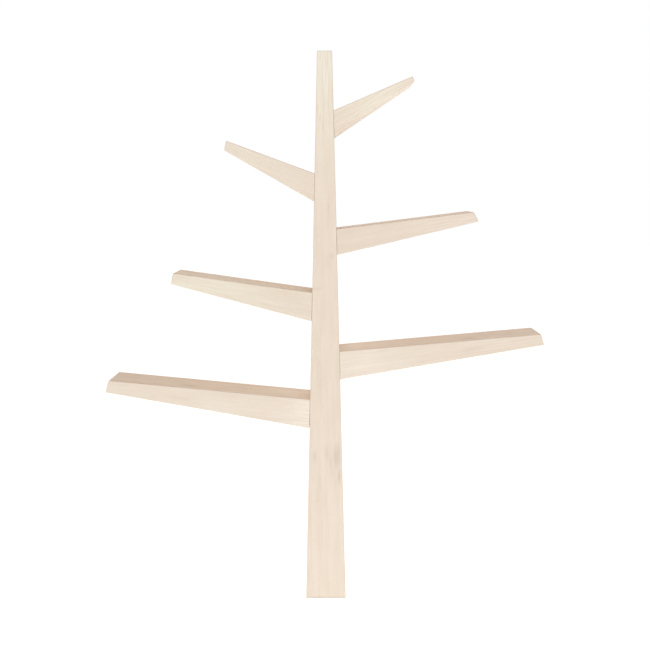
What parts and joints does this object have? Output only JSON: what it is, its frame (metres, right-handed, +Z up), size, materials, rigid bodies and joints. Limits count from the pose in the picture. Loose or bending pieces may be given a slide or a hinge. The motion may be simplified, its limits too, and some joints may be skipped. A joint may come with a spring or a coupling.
{
  "type": "tree shaped bookshelf",
  "caption": "Standing bookshelf shaped like a tree: a tapered wooden trunk with rising, tapered branches on both sides, whose flat tops hold books.",
  "frame": {"origin": "middle of the trunk's foot, on the floor", "axes": "+Z up the trunk, -Y to the front that is seen in the picture, +Y to the wall, +X to the right as seen from the front"},
  "size_m": [1.3765, 0.24, 1.72],
  "materials": {
    "trunk_maple": "pale maple, fine straight grain up the trunk, clear matt lacquer",
    "branch_maple": "pale maple, fine straight grain along the branch, clear matt lacquer",
    "block_wood": "plain sawn hardwood, unfinished, hidden inside",
    "bolt_steel": "zinc-plated steel",
    "hanger_steel": "zinc-plated steel"
  },
  "bodies": {
    "root": {"trunk_front_board": "trunk_maple", "trunk_back_board": "trunk_maple", "trunk_left_board": "trunk_maple", "trunk_right_board": "trunk_maple", "trunk_top_board": "trunk_maple", "trunk_base_block": "block_wood", "trunk_lower_core": "block_wood", "trunk_middle_core": "block_wood", "trunk_upper_core": "block_wood", "low_left_top_board": "branch_maple", "low_left_underside_board": "branch_maple", "low_left_tip_board": "branch_maple", "low_left_front_board": "branch_maple", "low_left_back_board": "branch_maple", "low_left_root_block": "block_wood", "low_left_front_bolt": "bolt_steel", "low_left_back_bolt": "bolt_steel", "low_right_top_board": "branch_maple", "low_right_underside_board": "branch_maple", "low_right_tip_board": "branch_maple", "low_right_front_board": "branch_maple", "low_right_back_board": "branch_maple", "low_right_root_block": "block_wood", "low_right_front_bolt": "bolt_steel", "low_right_back_bolt": "bolt_steel", "mid_left_top_board": "branch_maple", "mid_left_underside_board": "branch_maple", "mid_left_tip_board": "branch_maple", "mid_left_front_board": "branch_maple", "mid_left_back_board": "branch_maple", "mid_left_root_block": "block_wood", "mid_left_front_bolt": "bolt_steel", "mid_left_back_bolt": "bolt_steel", "mid_right_top_board": "branch_maple", "mid_right_underside_board": "branch_maple", "mid_right_tip_board": "branch_maple", "mid_right_front_board": "branch_maple", "mid_right_back_board": "branch_maple", "mid_right_root_block": "block_wood", "mid_right_front_bolt": "bolt_steel", "mid_right_back_bolt": "bolt_steel", "high_left_top_board": "branch_maple", "high_left_underside_board": "branch_maple", "high_left_tip_board": "branch_maple", "high_left_front_board": "branch_maple", "high_left_back_board": "branch_maple", "high_left_root_block": "block_wood", "high_left_front_bolt": "bolt_steel", "high_left_back_bolt": "bolt_steel", "high_right_top_board": "branch_maple", "high_right_underside_board": "branch_maple", "high_right_tip_board": "branch_maple", "high_right_front_board": "branch_maple", "high_right_back_board": "branch_maple", "high_right_root_block": "block_wood", "high_right_front_bolt": "bolt_steel", "high_right_back_bolt": "bolt_steel", "keyhole_hanger": "hanger_steel", "lower_hanger_screw": "hanger_steel", "upper_hanger_screw": "hanger_steel"}
  },
  "joints": []
}
